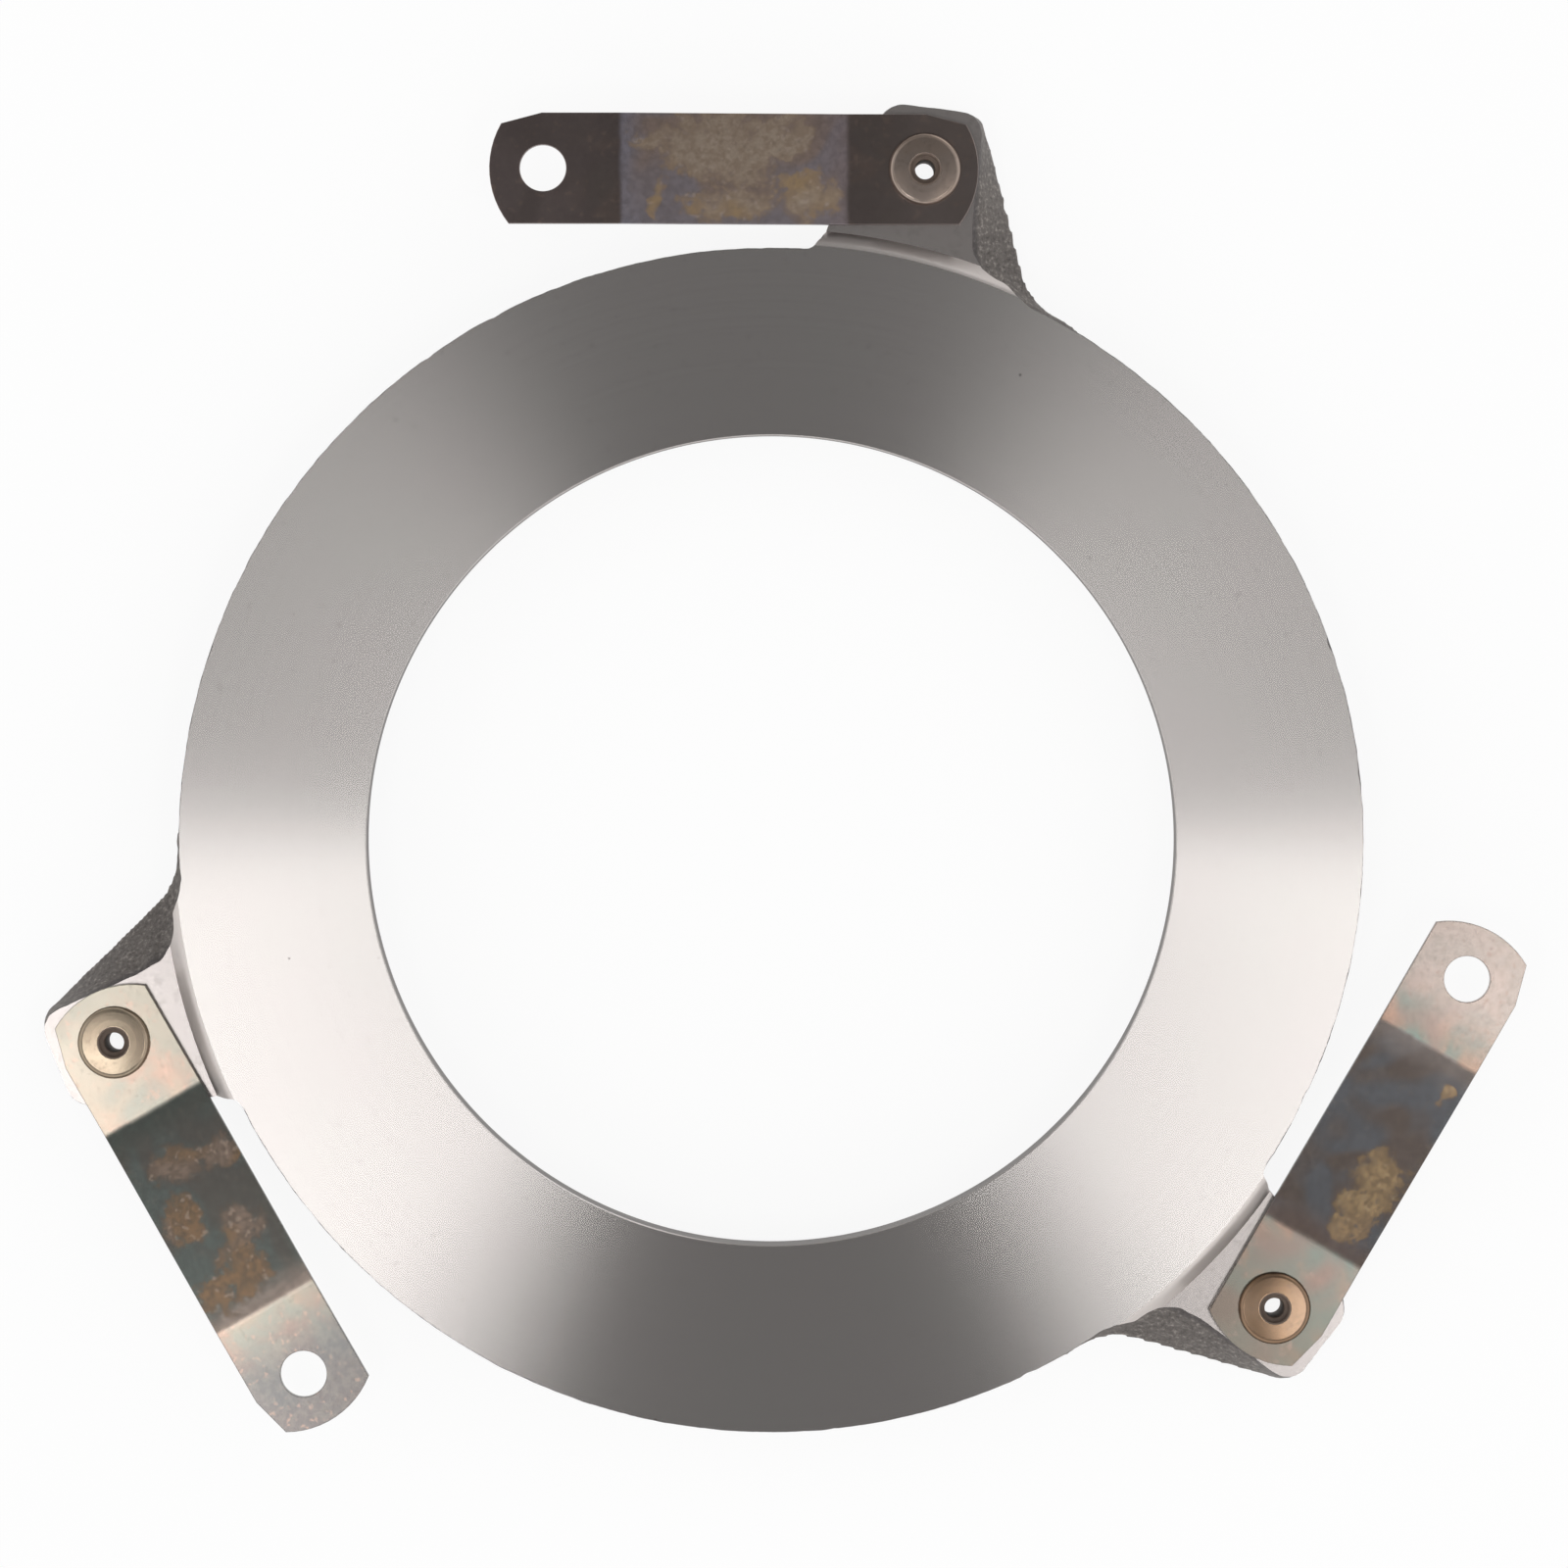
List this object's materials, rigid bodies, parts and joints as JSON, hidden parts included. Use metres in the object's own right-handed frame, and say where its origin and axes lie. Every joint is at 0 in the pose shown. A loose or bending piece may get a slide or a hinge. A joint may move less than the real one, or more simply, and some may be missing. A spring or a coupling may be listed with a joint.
{
  "type": "clutch pressure plate",
  "caption": "Clutch pressure plate: a turned iron friction ring whose lugs carry riveted packs of spring leaves, which drive it and let it lift along its axis.",
  "frame": {"origin": "on the ring's axis, in the plane of the friction face", "axes": "+Z along the ring's axis, out of the friction face; +X against the run of strap 1, from its free end to its rivet; +Y out from the axis through strap 1's line"},
  "size_m": [0.2574, 0.2304, 0.0191],
  "materials": {
    "casting_iron": "friction face and strap seats turned and milled bright, the rest as cast",
    "spring_steel": "rolled strip with uneven tempering colours",
    "rivet_steel": "plain steel with a thin straw-brown tint"
  },
  "bodies": {
    "plate": {"casting": "casting_iron", "strap_1_rivet": "rivet_steel", "strap_2_rivet": "rivet_steel", "strap_3_rivet": "rivet_steel"},
    "strap_1": {"strap_1_bottom_leaf": "spring_steel", "strap_1_middle_leaf": "spring_steel", "strap_1_top_leaf": "spring_steel"},
    "strap_2": {"strap_2_bottom_leaf": "spring_steel", "strap_2_middle_leaf": "spring_steel", "strap_2_top_leaf": "spring_steel"},
    "strap_3": {"strap_3_bottom_leaf": "spring_steel", "strap_3_middle_leaf": "spring_steel", "strap_3_top_leaf": "spring_steel"}
  },
  "joints": [
    {"name": "strap_1_flex", "type": "slide", "parent": "plate", "child": "strap_1", "axis": [0, 0, 1], "range_m": [-0.005, 0.001], "stiffness_N_per_m": 27000, "deforming": ["strap_1_bottom_leaf", "strap_1_middle_leaf", "strap_1_top_leaf"]},
    {"name": "strap_2_flex", "type": "slide", "parent": "plate", "child": "strap_2", "axis": [0, 0, 1], "range_m": [-0.005, 0.001], "stiffness_N_per_m": 27000, "deforming": ["strap_2_bottom_leaf", "strap_2_middle_leaf", "strap_2_top_leaf"]},
    {"name": "strap_3_flex", "type": "slide", "parent": "plate", "child": "strap_3", "axis": [0, 0, 1], "range_m": [-0.005, 0.001], "stiffness_N_per_m": 27000, "deforming": ["strap_3_bottom_leaf", "strap_3_middle_leaf", "strap_3_top_leaf"]}
  ],
  "couplings": [
    {"joint": "strap_2_flex", "follows": "strap_1_flex", "ratio": 1},
    {"joint": "strap_3_flex", "follows": "strap_1_flex", "ratio": 1}
  ]
}
